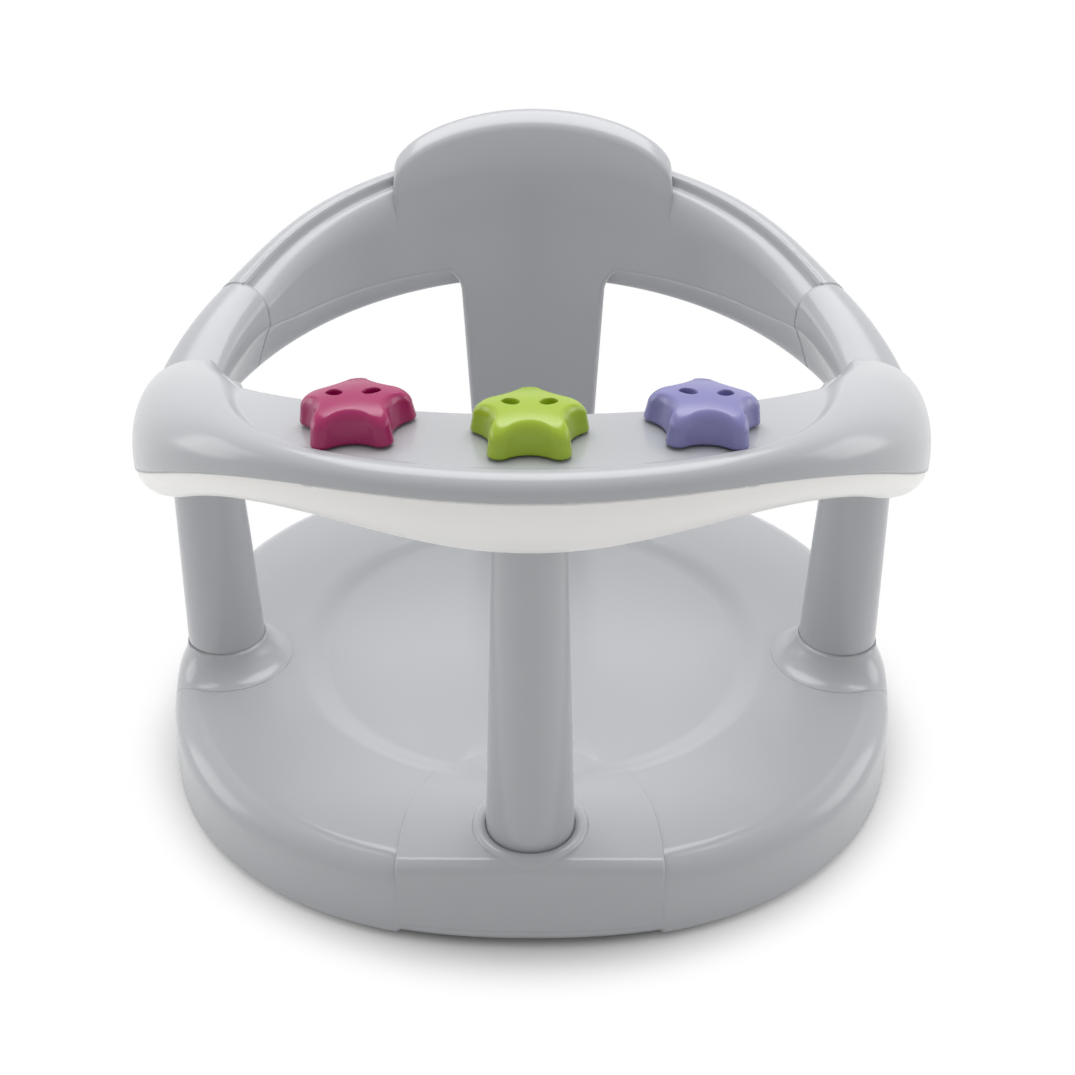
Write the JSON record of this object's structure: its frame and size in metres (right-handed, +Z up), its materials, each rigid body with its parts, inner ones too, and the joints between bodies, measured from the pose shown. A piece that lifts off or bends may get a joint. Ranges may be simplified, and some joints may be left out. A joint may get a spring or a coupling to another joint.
{
  "type": "baby bath ring",
  "caption": "Bath support ring for a sitting baby: round base on suction cups, legs, saddle-shaped ring of tray, arms and backrest, with spinning star toys.",
  "frame": {"origin": "middle of the footprint, on the surface that the suction cups stand on", "axes": "+Z up, -Y the way the child faces (tray side), +Y the backrest side, -X the magenta star's side"},
  "size_m": [0.3598, 0.3524, 0.263],
  "materials": {
    "grey_plastic": "satin gloss moulded polypropylene, cool mid grey",
    "white_plastic": "satin gloss moulded polypropylene, warm white",
    "magenta_plastic": "gloss moulded plastic, magenta",
    "green_plastic": "gloss moulded plastic, lime green",
    "violet_plastic": "gloss moulded plastic, violet",
    "cup_rubber": "soft moulded elastomer, pale grey",
    "steel": "stainless steel"
  },
  "bodies": {
    "ring": {"base_shell": "grey_plastic", "front_leg": "grey_plastic", "left_leg": "grey_plastic", "right_leg": "grey_plastic", "tray_top": "grey_plastic", "tray_base": "white_plastic", "left_arm": "grey_plastic", "right_arm": "grey_plastic", "backrest": "grey_plastic", "suction_cup_front_left": "cup_rubber", "suction_cup_front_right": "cup_rubber", "suction_cup_rear_left": "cup_rubber", "suction_cup_rear_right": "cup_rubber", "front_leg_lower_screw": "steel", "front_leg_upper_screw": "steel", "left_leg_lower_screw": "steel", "left_leg_upper_screw": "steel", "right_leg_lower_screw": "steel", "right_leg_upper_screw": "steel", "tray_screw_1": "steel", "tray_screw_2": "steel", "tray_screw_3": "steel", "tray_screw_4": "steel", "left_arm_screw": "steel", "right_arm_screw": "steel", "left_backrest_screw": "steel", "right_backrest_screw": "steel"},
    "left_spinner": {"left_star": "magenta_plastic", "left_star_washer": "steel", "left_star_screw": "steel"},
    "centre_spinner": {"centre_star": "green_plastic", "centre_star_washer": "steel", "centre_star_screw": "steel"},
    "right_spinner": {"right_star": "violet_plastic", "right_star_washer": "steel", "right_star_screw": "steel"}
  },
  "joints": [
    {"name": "left_star_spin", "type": "hinge", "parent": "ring", "child": "left_spinner", "pos_m": [-0.06414, -0.12567, 0.21566], "axis": [-0.049, 0.0107, 0.9987], "continuous": true},
    {"name": "centre_star_spin", "type": "hinge", "parent": "ring", "child": "centre_spinner", "pos_m": [0, -0.13604, 0.2168], "axis": [0, 0, 1], "continuous": true},
    {"name": "right_star_spin", "type": "hinge", "parent": "ring", "child": "right_spinner", "pos_m": [0.06414, -0.12567, 0.21566], "axis": [0.049, 0.0107, 0.9987], "continuous": true}
  ]
}
